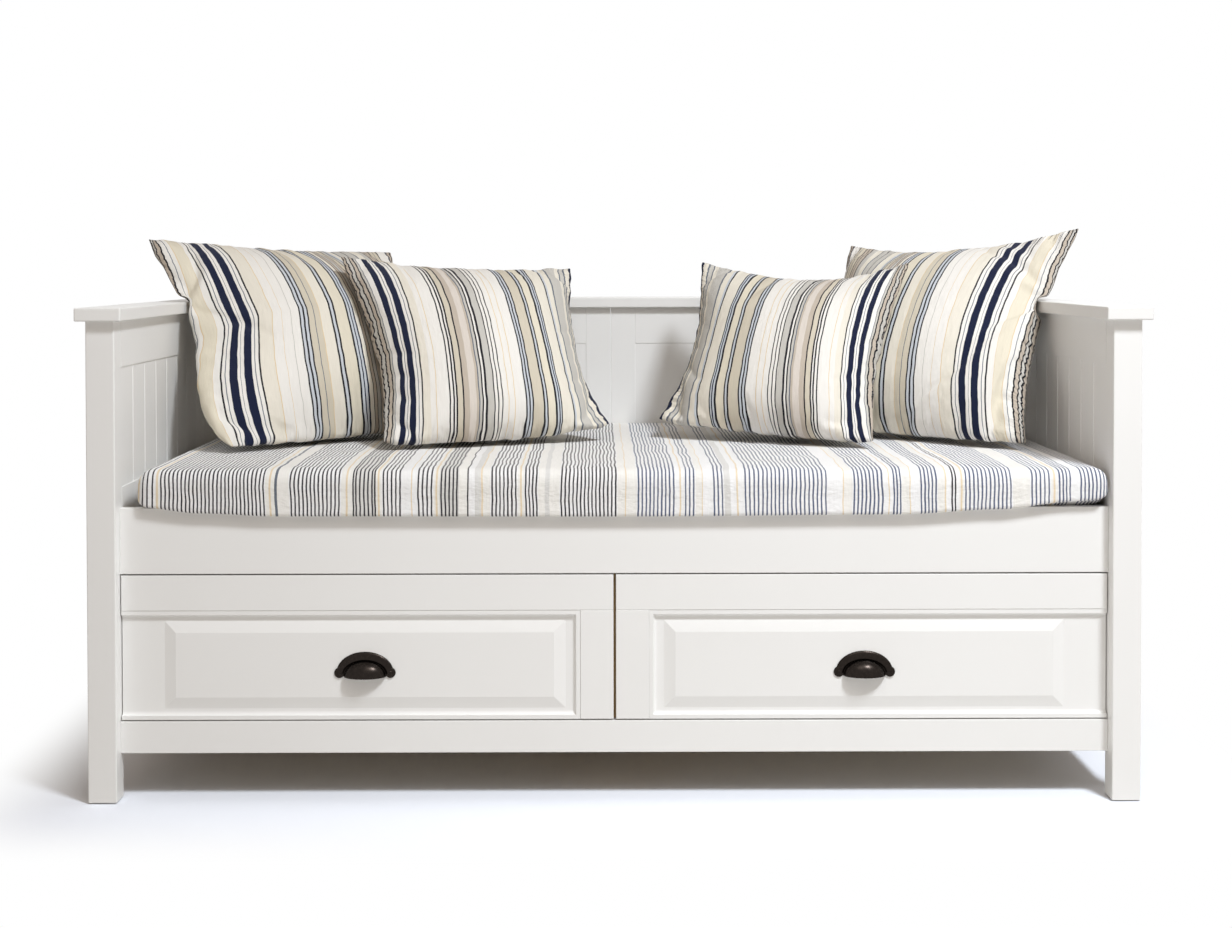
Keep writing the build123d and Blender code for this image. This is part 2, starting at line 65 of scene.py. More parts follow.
# %% Helpers for objects
def add_object(name, data):
    """Put a mesh, a lamp or a camera into the scene as an object."""
    thing = bpy.data.objects.new(name, data)
    scene.collection.objects.link(thing)
    return thing


def mesh_object(build, name, material=None):
    """Finish a bmesh as a smooth object with one material."""
    bmesh.ops.recalc_face_normals(build, faces=build.faces)
    mesh = bpy.data.meshes.new(name)
    build.to_mesh(mesh)
    build.free()
    for polygon in mesh.polygons:
        polygon.use_smooth = True
    if material:
        mesh.materials.append(material)
    return add_object(name, mesh)


def block(low, high):
    """A bmesh of a plain block between two corners."""
    build = bmesh.new()
    bmesh.ops.create_cube(build, size=1.0)
    for vertex in build.verts:
        vertex.co = Vector([low[k] + (vertex.co[k] + 0.5) * (high[k] - low[k]) for k in range(3)])
    return build


# %% Helpers for colours, nodes and materials
def paint(hex_colour):
    """A screen colour such as F1EFEA as linear red, green, blue and alpha."""
    parts = [int(hex_colour[i:i + 2], 16) / 255 for i in (0, 2, 4)]
    linear = [c / 12.92 if c <= 0.04045 else ((c + 0.055) / 1.055) ** 2.4 for c in parts]
    return (*linear, 1.0)


def add_node(tree, kind, inputs=None, **properties):
    """Add a node. An input is named or numbered, and is a value or another node's output."""
    node = tree.nodes.new(kind)
    for name, value in properties.items():
        setattr(node, name, value)
    for name, value in (inputs or {}).items():
        if isinstance(value, bpy.types.NodeSocket):
            tree.links.new(value, node.inputs[name])
        else:
            node.inputs[name].default_value = value
    return node


def calc(tree, operation, *values):
    """The number that a Math node makes of its values."""
    return add_node(tree, "ShaderNodeMath", dict(enumerate(values)), operation=operation).outputs[0]


def vector_calc(tree, operation, *values):
    """The vector that a Vector Math node makes of its values."""
    return add_node(tree, "ShaderNodeVectorMath", dict(enumerate(values)), operation=operation).outputs[0]


def remap(tree, value, low, high, from_low=0.0, from_high=1.0, **kind):
    """A value carried from one range to another, and held at its ends."""
    return add_node(tree, "ShaderNodeMapRange", {
        "Value": value, "From Min": from_low, "From Max": from_high, "To Min": low, "To Max": high},
        **kind).outputs[0]


def blend(tree, share, first, second):
    """The first colour where the share is 0, and the second where it is 1."""
    return add_node(tree, "ShaderNodeMix", {0: share, 6: first, 7: second}, data_type="RGBA").outputs[2]


def pattern(tree, place, scale, detail):
    """Noise at a place that is first stretched by a scale for each axis."""
    stretched = add_node(tree, "ShaderNodeMapping", {"Vector": place, "Scale": tuple(scale)})
    return add_node(tree, "ShaderNodeTexNoise", {
        "Vector": stretched.outputs[0], "Scale": 1.0, "Detail": detail}).outputs[0]


def object_pattern(tree, wavelengths, detail=3.0):
    """Noise in object space, with a wavelength in metres along each axis."""
    place = add_node(tree, "ShaderNodeTexCoord").outputs["Object"]
    return pattern(tree, place, [1 / length for length in wavelengths], detail)


def new_material(name):
    """An empty material with its output node: gives the material, its tree and the output."""
    material = bpy.data.materials.new(name)
    material.use_nodes = True
    tree = material.node_tree
    tree.nodes.clear()
    return material, tree, add_node(tree, "ShaderNodeOutputMaterial")


def finish_surface(tree, output, bump_height, bump_depth, inputs):
    """A Principled surface with a bump whose height runs from 0 to 1 over a depth in metres."""
    bump = add_node(tree, "ShaderNodeBump", {"Height": bump_height, "Distance": bump_depth})
    surface = add_node(tree, "ShaderNodeBsdfPrincipled", {**inputs, "Normal": bump.outputs[0]})
    tree.links.new(surface.outputs[0], output.inputs["Surface"])


# %% [markdown]
# ## Camera
# The bed was photographed almost square on, from a little above the cushions, with
# a lens of normal length. The vanishing point sits above the middle of the picture,
# which a studio camera does by sliding the lens up instead of tilting it, so the
# posts stay upright. Here that slide is the camera's shift.

# %% Place the camera
PICTURE_SIZE = (1232, 928)
FOCAL_PIXELS = 1650.0
VANISHING_PIXEL = (604.4, 292.9)
CAMERA_PLACE = Vector((-0.0321, -3.7123, 1.0476))
CAMERA_TILT = (-0.0169, 0.0015, -0.0040)
SENSOR = 36.0

camera_data = bpy.data.cameras.new("studio_camera")
camera_data.sensor_width = SENSOR
camera_data.lens = FOCAL_PIXELS / PICTURE_SIZE[0] * SENSOR
camera_data.shift_x = (PICTURE_SIZE[0] / 2 - VANISHING_PIXEL[0]) / PICTURE_SIZE[0]
camera_data.shift_y = (VANISHING_PIXEL[1] - PICTURE_SIZE[1] / 2) / PICTURE_SIZE[0]
camera = add_object("studio_camera", camera_data)
camera.location = CAMERA_PLACE
camera.rotation_euler = Euler((math.pi / 2 + CAMERA_TILT[0], CAMERA_TILT[1], CAMERA_TILT[2]))
scene.camera = camera
print("lens in mm:", round(camera_data.lens, 1))


# %% [markdown]
# ## Studio
# White sweep, one soft lamp high on the right, aimed at the right half of the bed
# through a grid that narrows its beam, and a weak one low before the middle. The
# right end of the bed is nearly white so, and the left end falls away to a warm
# grey. The walls give back a little warm light. Lamps that stand high leave the
# floor under the bed dark. The sweep runs on to plain white a little way from the
# bed, as a studio's does, by giving off its own light there, but only to the camera
# and in mirrored rays.

# %% Sweep
SWEEP_HALF = 30.0
SHADOW_HALF_SIZE = (1.03, 0.56)
SHADOW_FADE = 0.28
SWEEP_COLOUR = "E4E3E1"
SWEEP_SEEN = (1.0, 1.04, 1.12, 1.0)
PLAIN_WHITE = (1.0, 1.0, 1.0, 1.0)


def seen_directly(tree):
    """1 for rays of the camera, a mirror or clear glass, and 0 for the light on the object."""
    rays = add_node(tree, "ShaderNodeLightPath").outputs
    some = calc(tree, "MAXIMUM", rays["Is Camera Ray"], rays["Is Glossy Ray"])
    return calc(tree, "MAXIMUM", some, rays["Is Transmission Ray"])


floor_mesh = bpy.data.meshes.new("studio_sweep")
floor_mesh.from_pydata([(x * SWEEP_HALF, y * SWEEP_HALF, 0.0) for x, y in
                        ((-1, -1), (1, -1), (1, 1), (-1, 1))], [], [(0, 1, 2, 3)])
floor = add_object("studio_sweep", floor_mesh)
material, tree, output = new_material("matt_white_sweep")
outside = vector_calc(tree, "ABSOLUTE", add_node(tree, "ShaderNodeTexCoord").outputs["Object"])
outside = vector_calc(tree, "SUBTRACT", outside, (*SHADOW_HALF_SIZE, 1.0))
outside = vector_calc(tree, "MAXIMUM", outside, (0.0, 0.0, 0.0))
distance = add_node(tree, "ShaderNodeVectorMath", {0: outside}, operation="LENGTH").outputs["Value"]
fade = remap(tree, distance, 0.0, 1.0, from_high=SHADOW_FADE, interpolation_type="SMOOTHSTEP")
share = calc(tree, "MULTIPLY", fade, seen_directly(tree))
tone = blend(tree, seen_directly(tree), paint(SWEEP_COLOUR), SWEEP_SEEN)
matt = add_node(tree, "ShaderNodeBsdfDiffuse", {"Color": tone})
glow = add_node(tree, "ShaderNodeEmission", {"Color": PLAIN_WHITE, "Strength": 1.0})
both = add_node(tree, "ShaderNodeMixShader", {0: share, 1: matt.outputs[0], 2: glow.outputs[0]})
tree.links.new(both.outputs[0], output.inputs["Surface"])
floor_mesh.materials.append(material)
print("sweep in metres:", 2 * SWEEP_HALF)

# %% Walls and lamps
WALL_COLOUR = "FFEEDD"
WALL_STRENGTH = 0.30

world = bpy.data.worlds.new("studio_walls")
scene.world = world
world.use_nodes = True
tree = world.node_tree
tree.nodes.clear()
walls = add_node(tree, "ShaderNodeBackground", {"Color": paint(WALL_COLOUR), "Strength": WALL_STRENGTH})
sky = add_node(tree, "ShaderNodeBackground", {"Color": PLAIN_WHITE, "Strength": 1.0})
both = add_node(tree, "ShaderNodeMixShader", {0: seen_directly(tree), 1: walls.outputs[0], 2: sky.outputs[0]})
tree.links.new(both.outputs[0], add_node(tree, "ShaderNodeOutputWorld").inputs["Surface"])


def soft_lamp(name, place, target, width, watts, colour, spread):
    """A square area lamp that points at a target, with a grid that narrows its beam to some degrees."""
    data = bpy.data.lights.new(name, "AREA")
    data.size = width
    data.energy = watts
    data.spread = math.radians(spread)
    data.color = paint(colour)[:3]
    lamp = add_object(name, data)
    lamp.location = place
    lamp.rotation_euler = (Vector(target) - Vector(place)).to_track_quat("-Z", "Y").to_euler()


soft_lamp("key_lamp", place=(1.9, -2.9, 4.5), target=(0.9, -0.3, 0.5), width=0.8, watts=99.0,
          colour="F4F9FF", spread=125.0)
soft_lamp("near_lamp", place=(0.1, -2.1, 2.5), target=(0.1, -0.4, 0.4), width=1.0, watts=9.0,
          colour="FFFCF8", spread=180.0)
print("lamps:", sorted(lamp.name for lamp in bpy.data.lights))


# %% [markdown]
# ## Painted wood
# The frame is joinery under a satin white lacquer. From arm's length that is an
# even surface with a soft gloss, but the lacquer still shows the run of the grain
# as faint ridges, and the roller leaves a fine orange peel. Both are bumps only a
# few hundredths of a millimetre high. The grain follows each board, so the same
# recipe is made three times, once for each direction that a board can run.

# %% Satin lacquer in three grain directions
GRAIN_LENGTH = 0.30
GRAIN_WIDTH = 0.004
GRAIN_SHARE = 0.75
PEEL_WIDTH = 0.0015
CLOUD_SIZE = 0.5
LACQUER_RELIEF = 0.00006
LACQUER_WHITES = ("F1F0EE", "F5F5F3")
LACQUER_ROUGHNESS = (0.36, 0.46)


def satin_lacquer(name, along):
    """White satin paint over wood whose grain runs along axis 0, 1 or 2."""
    material, tree, output = new_material(name)
    wavelengths = [GRAIN_WIDTH] * 3
    wavelengths[along] = GRAIN_LENGTH
    grain = object_pattern(tree, wavelengths)
    peel = object_pattern(tree, [PEEL_WIDTH] * 3, 1.0)
    cloud = object_pattern(tree, [CLOUD_SIZE] * 3, 2.0)
    finish_surface(tree, output, calc(tree, "MULTIPLY_ADD", grain, GRAIN_SHARE, peel), LACQUER_RELIEF, {
        "Base Color": blend(tree, cloud, *map(paint, LACQUER_WHITES)),
        "Roughness": remap(tree, grain, *LACQUER_ROUGHNESS)})
    return material


lacquer = {axis: satin_lacquer(f"satin_lacquer_{axis}", index) for index, axis in enumerate("xyz")}
LACQUERED = {
    "x": ("rear_cap", "seat_rail", "front_bottom_rail", "rear_bottom_rail", "dust_panel",
          "back_SIDE_top_rail", "back_SIDE_bottom_rail", "SIDE_drawer_top_board",
          "SIDE_drawer_raised_panel"),
    "y": ("SIDE_end_cap", "SIDE_end_top_rail", "SIDE_end_middle_rail", "SIDE_end_bottom_rail"),
    "z": ("front_SIDE_post", "rear_SIDE_post", "SIDE_end_lower_panel", "SIDE_end_beadboard",
          "back_SIDE_stile", "back_SIDE_panel", "SIDE_drawer_stile"),
}


def finish_solids(name, material):
    """Give one of the bed's own solids a finish, or the left and right ones where the name says SIDE.

    Their meshes stay as they are. Gives how many solids they were."""
    names = sorted({name.replace("SIDE", side) for side in ("left", "right")})
    for each in names:
        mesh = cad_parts[each].data
        mesh.materials.clear()
        mesh.materials.append(material)
    return len(names)


painted = sum(finish_solids(name, lacquer[axis]) for axis, names in LACQUERED.items() for name in names)
print("lacquered solids:", painted)


# %% [markdown]
# ## Bare wood inside
# Open a drawer and the white stops: the boxes are sanded birch plywood, the runners
# waxed beech, the ledgers, slats and partition planed pine. One wood recipe serves
# all of them, rings of early and late wood stretched along the board, with the
# ring width, the two colours and the gloss as what changes from one to the next.

# %% Plywood, beech and pine
STREAK_LENGTH_IN_RINGS = 60
PORES_IN_A_RING = 6
PORE_RELIEF = 0.0001
BIRCH = ("DCCFBA", "C8B9A0", 0.5)
BEECH = ("D3A87C", "BC8E63", 0.4)
PINE = ("E3C695", "CFA468", 0.5)


def planed_wood(name, along, ring_width, early, late, roughness):
    """Clear-finished wood: streaks along one axis between two colours."""
    material, tree, output = new_material(name)
    wavelengths = [ring_width] * 3
    wavelengths[along] = ring_width * STREAK_LENGTH_IN_RINGS
    rings = object_pattern(tree, wavelengths, 4.0)
    pores = object_pattern(tree, [length / PORES_IN_A_RING for length in wavelengths], 2.0)
    finish_surface(tree, output, pores, PORE_RELIEF, {
        "Base Color": blend(tree, rings, paint(late), paint(early)), "Roughness": roughness})
    return material


birch_ply = planed_wood("birch_plywood", 0, 0.006, *BIRCH)
birch_ply_sides = planed_wood("birch_plywood_sides", 1, 0.006, *BIRCH)
waxed_beech = planed_wood("waxed_beech", 1, 0.003, *BEECH)
planed_pine = planed_wood("planed_pine", 0, 0.007, *PINE)
planed_pine_cross = planed_wood("planed_pine_cross", 1, 0.007, *PINE)
BARE = {
    "SIDE_drawer_box_bottom": birch_ply, "SIDE_drawer_box_back": birch_ply,
    "SIDE_drawer_inner_side": birch_ply_sides, "SIDE_drawer_outer_side": birch_ply_sides,
    "SIDE_drawer_runners": waxed_beech, "front_slat_ledger": planed_pine,
    "rear_slat_ledger": planed_pine, "centre_partition": planed_pine_cross,
}
bare = sum(finish_solids(name, material) for name, material in BARE.items())
print("bare wood solids:", bare)


# %% [markdown]
# ## Metal and nylon
# The pulls are cast and then plated a dark pewter, polished enough to catch the
# lamps as soft patches but with the slight waviness of a casting. The bolts are
# zinc plated steel, bluish grey and a little blotchy. The glides under the legs are
# moulded nylon.

# %% Pewter, zinc and nylon
NYLON_GRAIN = 0.0012
NYLON_RELIEF = 0.00005


def metal(name, tones, roughness, patch, relief):
    """A plated metal with patches of tone and gloss of a given size, each between two values."""
    material, tree, output = new_material(name)
    patches = object_pattern(tree, [patch] * 3)
    finish_surface(tree, output, patches, relief, {
        "Base Color": blend(tree, patches, *map(paint, tones)),
        "Roughness": remap(tree, patches, *roughness), "Metallic": 1.0})
    return material


dark_pewter = metal("dark_pewter_plating", ("221E1C", "342E2A"), (0.22, 0.31), 0.006, 0.00008)
zinc = metal("zinc_plated_steel", ("8E9093", "B4B6B8"), (0.28, 0.42), 0.003, 0.00003)

material, tree, output = new_material("moulded_nylon")
finish_surface(tree, output, object_pattern(tree, [NYLON_GRAIN] * 3), NYLON_RELIEF, {
    "Base Color": paint("D9D6CF"), "Roughness": 0.55})
print("metal and nylon solids:", finish_solids("frame_bolts", zinc) + finish_solids("foot_glides", material))


# %% [markdown]
# ## Striped cotton
# A striped cloth is woven with coloured warp threads, so the pattern is a list: so
# many millimetres of one colour, then so many of the next. The material reads that
# list through colour ramps with hard steps. A ramp holds 32 steps, so a long list
# is cut into several ramps and the place across the cloth picks the right one. The
# place comes from each piece's own UV map, so the stripes bend with the cloth.

# %% Warp stripes from a list of threads
RAMP_STEPS = 30


def warp(tree, across, stripes):
    """Colours across a cloth: across runs from 0 to 1, stripes are (millimetres, hex colour)."""
    total = sum(width for width, _ in stripes)
    colour = None
    start = 0.0
    for first in range(0, len(stripes), RAMP_STEPS):
        group = stripes[first:first + RAMP_STEPS]
        span = sum(width for width, _ in group)
        within = remap(tree, across, 0.0, 1.0, start / total, (start + span) / total)
        ramp = add_node(tree, "ShaderNodeValToRGB", {"Fac": within})
        ramp.color_ramp.interpolation = "CONSTANT"
        steps = ramp.color_ramp.elements
        steps[1].color = paint(group[-1][1])
        done = 0.0
        for index, (width, hex_colour) in enumerate(group):
            step = steps.new(done / span) if 0 < index < len(group) - 1 else steps[0 if index == 0 else -1]
            step.position = done / span
            step.color = paint(hex_colour)
            done += width
        if colour is None:
            colour = ramp.outputs[0]
        else:
            beyond = calc(tree, "GREATER_THAN", across, start / total)
            colour = blend(tree, beyond, colour, ramp.outputs[0])
        start += span
    return colour, total


OFF_WHITE = "F6F3ED"
CREAM = "F1EBDD"
YELLOW = "ECE4D0"
SAND = "DAD1BE"
AMBER = "E6CFA6"
ROSE = "E2D9CF"
TAUPE = "C9BDAE"
STONE = "CFCCC5"
SLATE = "6E7580"
PALE_BLUE = "D2D7DD"
NAVY = "141C38"
INK = "232228"

LARGE_COVER_STRIPES = [
    (5, TAUPE), (3, INK), (4, STONE), (3, INK), (6, TAUPE), (3, INK), (9, OFF_WHITE), (1.6, SLATE),
    (8, OFF_WHITE), (1.5, AMBER), (24, YELLOW), (1.5, AMBER), (12, OFF_WHITE), (3.4, INK),
    (6, OFF_WHITE), (1.5, SLATE), (6, OFF_WHITE), (14, NAVY), (5, OFF_WHITE), (1.2, SLATE),
    (6, OFF_WHITE), (14, NAVY), (6, OFF_WHITE), (1.5, SLATE), (6, OFF_WHITE), (3.4, INK), (26, CREAM),
    (1.5, AMBER), (18, OFF_WHITE), (1.5, AMBER), (17, OFF_WHITE), (1.2, STONE), (16, OFF_WHITE),
    (3, INK), (5, PALE_BLUE), (4, INK), (5, PALE_BLUE), (3, INK), (11, SAND), (1.4, SLATE), (11, SAND),
    (1.5, AMBER), (22, CREAM), (3.4, INK), (5, PALE_BLUE), (3.4, INK), (24, YELLOW), (4, INK),
    (4, PALE_BLUE), (2.4, NAVY), (4, PALE_BLUE), (3, NAVY), (7, CREAM), (1.6, INK), (5, TAUPE),
    (1.8, INK), (6, STONE), (1.4, SLATE), (6, TAUPE), (2, INK), (7, SAND), (1.6, INK), (5, STONE),
    (2.4, SLATE), (5, PALE_BLUE), (16, CREAM), (3, SLATE), (12, STONE), (1.5, INK), (14, STONE),
    (2.6, SLATE), (14, CREAM), (12, STONE), (2.6, INK), (8, TAUPE), (1.6, INK), (7, TAUPE), (1.8, INK),
    (9, SAND), (1.4, SLATE), (9, SAND), (2.2, INK), (18, OFF_WHITE), (3, NAVY), (5, TAUPE), (3, INK),
    (6, TAUPE),
]
SMALL_COVER_STRIPES = [
    (5, TAUPE), (3, INK), (5, TAUPE), (3, INK), (6, STONE), (3, INK), (7, TAUPE), (2.6, INK),
    (5, STONE), (1.6, SLATE), (11, OFF_WHITE), (13, NAVY), (5, OFF_WHITE), (1.2, SLATE), (5, OFF_WHITE),
    (13, NAVY), (6, OFF_WHITE), (1.5, SLATE), (6, OFF_WHITE), (3.4, INK), (16, CREAM), (12, OFF_WHITE),
    (1.5, AMBER), (26, OFF_WHITE), (3, INK), (5, OFF_WHITE), (4, INK), (3, OFF_WHITE), (3.4, INK),
    (12, SAND), (2.6, INK), (12, TAUPE), (15, ROSE), (5, TAUPE), (2.6, SLATE), (5, STONE), (3, INK),
    (5, OFF_WHITE), (4.5, INK), (14, STONE), (2.6, INK), (6, OFF_WHITE), (2.6, INK), (7, OFF_WHITE),
    (2.6, INK), (12, OFF_WHITE), (1.5, AMBER), (14, OFF_WHITE), (1.5, AMBER), (24, OFF_WHITE),
    (3.4, INK), (4, PALE_BLUE), (3.6, INK), (4, PALE_BLUE), (3.4, INK), (24, SAND), (3.4, INK),
    (4.5, PALE_BLUE), (3.4, INK), (18, YELLOW), (4.5, INK), (4, PALE_BLUE), (3, NAVY), (3, PALE_BLUE),
    (2.6, INK), (28, CREAM), (3.4, INK), (5, PALE_BLUE), (14, CREAM), (4, SLATE), (27, STONE),
    (10, CREAM), (3, SLATE), (9, STONE), (3, SLATE), (12, CREAM), (8, NAVY),
]


# %% [markdown]
# The weave itself is a plain one. Its threads are about half a millimetre apart,
# too fine for the picture, so they are drawn at a little over a millimetre. Cotton
# is matt with a faint fuzz that lightens grazing edges, which is what sheen is for.
# Slubs, the thicker stretches of hand-spun yarn, make the colour waver along the
# stripe.

# %% The cotton cover
THREAD = 0.0012
WEAVE_SHARE = 0.05
COTTON_RELIEF = 0.0022
SWAY_SCALE = 16.0
SLUB_SCALE = (900.0, 22.0, 1.0)
SLUB_SHADE = (0.88, 1.08)
GATHER_PITCH = 0.013
GATHER_REACH = 0.050
GATHER_SWAY = 0.0032
GATHER_RELIEF = 1.6
GATHER_LENGTH_IN_WIDTHS = 4
# Painted light in part: the white ground shown on the cover's top also stands in for the brighter light on
# the mattress top.
OPEN_AND_LIT_GROUND = "FAF9F7"


def seam_gathers(tree, place, side):
    """Small folds that stand square to each seam and die away from it: height from -1 to 1."""
    folds = []
    cloth = add_node(tree, "ShaderNodeCombineXYZ", {0: place[0], 1: place[1]}).outputs[0]
    for across in (0, 1):
        share = calc(tree, "DIVIDE", place[across], side[across])
        nearest = calc(tree, "MINIMUM", share, calc(tree, "SUBTRACT", 1.0, share))
        fade = remap(tree, nearest, 1.0, 0.0, from_high=GATHER_REACH / side[across],
                     interpolation_type="SMOOTHSTEP")
        spread = [1 / GATHER_PITCH, 1 / GATHER_PITCH, 1.0]
        spread[across] /= GATHER_LENGTH_IN_WIDTHS
        fold = remap(tree, pattern(tree, cloth, spread, 1.5), -1.0, 1.0, 0.25, 0.75)
        folds.append(calc(tree, "MULTIPLY", fold, fade))
    return calc(tree, "ADD", *folds)


def cotton(name, stripes, side, puckers, wander, gathered, opened_and_lit=(0.0, 1.0, 0.0)):
    """Striped plain-weave cotton on a UV map whose sides are the given lengths in metres.

    The last argument is where on the map the crinkle starts to lie flat, where it is flat, and the share of
    white ground that it then shows: partly the crinkle spread flat, partly painted light for the brighter-lit
    top."""
    material, tree, output = new_material(name)
    cloth_map = add_node(tree, "ShaderNodeUVMap", uv_map="cloth")
    metres = add_node(tree, "ShaderNodeMapping", {
        "Vector": cloth_map.outputs[0], "Scale": (*side, 1.0)}).outputs[0]
    place = add_node(tree, "ShaderNodeSeparateXYZ", {0: metres}).outputs
    sway = add_node(tree, "ShaderNodeTexNoise", {"Vector": metres, "Scale": SWAY_SCALE, "Detail": 2.5})
    across = calc(tree, "MULTIPLY_ADD", sway.outputs[0], wander, place[0])
    relief = pattern(tree, metres, (*puckers, 1.0), 3.0)
    if gathered:
        folds = seam_gathers(tree, place, side)
        across = calc(tree, "MULTIPLY_ADD", folds, GATHER_SWAY, across)
        relief = calc(tree, "MULTIPLY_ADD", folds, GATHER_RELIEF, relief)
    colour, total = warp(tree, calc(tree, "DIVIDE", across, side[0]), stripes)
    # Painted light in part: the cover whitens towards its top, both for the crinkle spread flat there and for
    # the brighter light on the top.
    flat = remap(tree, place[1], 0.0, opened_and_lit[2], opened_and_lit[0] * side[1], opened_and_lit[1] * side[1],
                 interpolation_type="SMOOTHSTEP")
    colour = blend(tree, flat, colour, paint(OPEN_AND_LIT_GROUND))
    tinted = add_node(tree, "ShaderNodeVectorMath", {0: colour}, operation="SCALE")
    tree.links.new(remap(tree, pattern(tree, metres, SLUB_SCALE, 2.0), *SLUB_SHADE), tinted.inputs["Scale"])
    thread = vector_calc(tree, "MULTIPLY", metres, (2 * math.pi / THREAD,) * 3)
    thread = add_node(tree, "ShaderNodeSeparateXYZ", {0: thread}).outputs
    weave = calc(tree, "MULTIPLY", calc(tree, "SINE", thread[0]), calc(tree, "SINE", thread[1]))
    height = calc(tree, "MULTIPLY_ADD", weave, WEAVE_SHARE, relief)
    finish_surface(tree, output, height, COTTON_RELIEF, {
        "Base Color": tinted.outputs[0], "Roughness": 0.9, "Specular IOR Level": 0.25,
        "Sheen Weight": 0.06, "Sheen Roughness": 0.5})
    print(name, "stripes:", len(stripes), "cloth width in mm:", round(total))
    return material


LARGE_SIDE = (0.66, 0.66)
SMALL_SIDE = (0.58, 0.58)
COVER_LOOK = {"puckers": (90.0, 26.0), "wander": 0.0060, "gathered": True}
large_cover = cotton("striped_cotton_large", LARGE_COVER_STRIPES, LARGE_SIDE, **COVER_LOOK)
small_cover = cotton("striped_cotton_small", SMALL_COVER_STRIPES, SMALL_SIDE, **COVER_LOOK)


# %% [markdown]
# ## Cushions
# Each cushion is what it looks like: two square sheets of cotton sewn together
# round the edge and stuffed. Drawn directly, such a shape never looks right,
# because the pulled-in sides, the pointed ears and the creases at the seam all come
# from flat cloth being forced round a filling. So the two sheets start nearly flat
# between the points where the seam rests, a cloth simulation pumps them up, and the
# result is kept as a plain mesh. The rear pair is stuffed first and then holds back
# the front pair, as the real ones press into each other. The small gathers of a seam
# are finer than the cloth's cells can fold, so they are added to the finished shape.

# %% Lay out a case between its corners
CELLS = 60
SEAM_PULL = 0.030
EAR_REACH = 0.10
EAR_BLUNTING = 0.006
CASE_LOFT = 0.105
SWELL_POWER = 0.6
EDGE_HOLD = 0.9


def through(start, middle, end, t):
    """A point at t on the smooth curve from start to end that passes the middle at one half."""
    return start.lerp(end, t) + (middle - (start + end) / 2) * 4 * t * (1 - t)


def seam_frame(corners, edges):
    """The middles of the four seams: given ones, and otherwise the side pulled in a little."""
    low_left, low_right, high_left, high_right = corners
    centre = sum(corners, Vector()) / 4
    ends = {"bottom": (low_left, low_right), "top": (high_left, high_right),
            "left": (low_left, high_left), "right": (low_right, high_right)}
    middles = {}
    for side, (start, end) in ends.items():
        middle = (start + end) / 2
        middles[side] = edges.get(side, middle + (centre - middle).normalized() * SEAM_PULL)
    return middles


def cloth_point(corners, middles, belly, s, t):
    """The sheet between the four curved seams, s across and t up.

    The belly pushes the left seam out low down."""
    low_left, low_right, high_left, high_right = corners
    bulge = belly * max(0.0, math.sin(2 * math.pi * t)) * (1 - s)
    up = through(low_left, middles["bottom"], low_right, s).lerp(
        through(high_left, middles["top"], high_right, s), t)
    over = through(low_left, middles["left"], high_left, t).lerp(
        through(low_right, middles["right"], high_right, t), s)
    flat = low_left.lerp(low_right, s).lerp(high_left.lerp(high_right, s), t)
    point = up + over - flat + bulge
    near_ear = max(0.0, 1 - (min(s, 1 - s) + min(t, 1 - t)) / EAR_REACH)
    centre = sum(corners, Vector()) / 4
    return point + (centre - point).normalized() * EAR_BLUNTING * near_ear ** 2


def sewn_case(name, corners, edges, skew, belly):
    """Two square sheets that share their border, puffed a little, with stripes a little askew."""
    mirrored = name.startswith("right")
    middles = seam_frame(corners, edges)
    normal = (corners[1] - corners[0]).cross(corners[2] - corners[0]).normalized()
    steps = range(CELLS + 1)
    places, index = [], {}
    for layer in (1, -1):
        for j in steps:
            for i in steps:
                if layer < 0 and (i in (0, CELLS) or j in (0, CELLS)):
                    index[layer, i, j] = index[1, i, j]
                    continue
                s, t = i / CELLS, j / CELLS
                swell = (math.sin(math.pi * s) * math.sin(math.pi * t)) ** SWELL_POWER
                index[layer, i, j] = len(places)
                flat = cloth_point(corners, middles, belly, s, t)
                places.append(flat + normal * layer * CASE_LOFT * swell)
    faces, maps = [], []
    for layer in (1, -1):
        for j in range(CELLS):
            for i in range(CELLS):
                ring = [(i, j), (i + 1, j), (i + 1, j + 1), (i, j + 1)][::layer]
                faces.append([index[layer, a, b] for a, b in ring])
                for a, b in ring:
                    across = 1 - a / CELLS if mirrored else a / CELLS
                    maps.append((across + skew * (1 - across) * (1 - b / CELLS), b / CELLS))
    mesh = bpy.data.meshes.new(name)
    mesh.from_pydata(places, [], faces)
    for loop, place in zip(mesh.uv_layers.new(name="cloth").data, maps):
        loop.uv = place
    case = add_object(name, mesh)
    pins = case.vertex_groups.new(name="held")
    seam = case.vertex_groups.new(name="seam")
    held = {"bottom": [(k, 0) for k in steps], "top": [(k, CELLS) for k in steps],
            "left": [(0, k) for k in steps], "right": [(CELLS, k) for k in steps]}
    for side, border in held.items():
        seam.add([index[1, i, j] for i, j in border], 1.0, "REPLACE")
        if side in edges:
            pins.add([index[1, i, j] for i, j in border], EDGE_HOLD, "REPLACE")
    pins.add([index[1, i, j] for i in (0, CELLS) for j in (0, CELLS)], 1.0, "REPLACE")
    shares = {number: (i / CELLS, j / CELLS) for (layer, i, j), number in index.items()}
    return case, shares


# %% Stuff it
FRAMES = 30
CLOTH_GAP = 0.003
CLOTH_SETTINGS = {
    "quality": 6, "mass": 0.3, "tension_stiffness": 25.0, "compression_stiffness": 12.0,
    "shear_stiffness": 6.0, "bending_stiffness": 0.15, "air_damping": 4.0, "use_pressure": True,
    "uniform_pressure_force": 17.0, "vertex_group_mass": "held", "vertex_group_shrink": "seam",
    "shrink_min": -0.045, "shrink_max": 0.04,
}


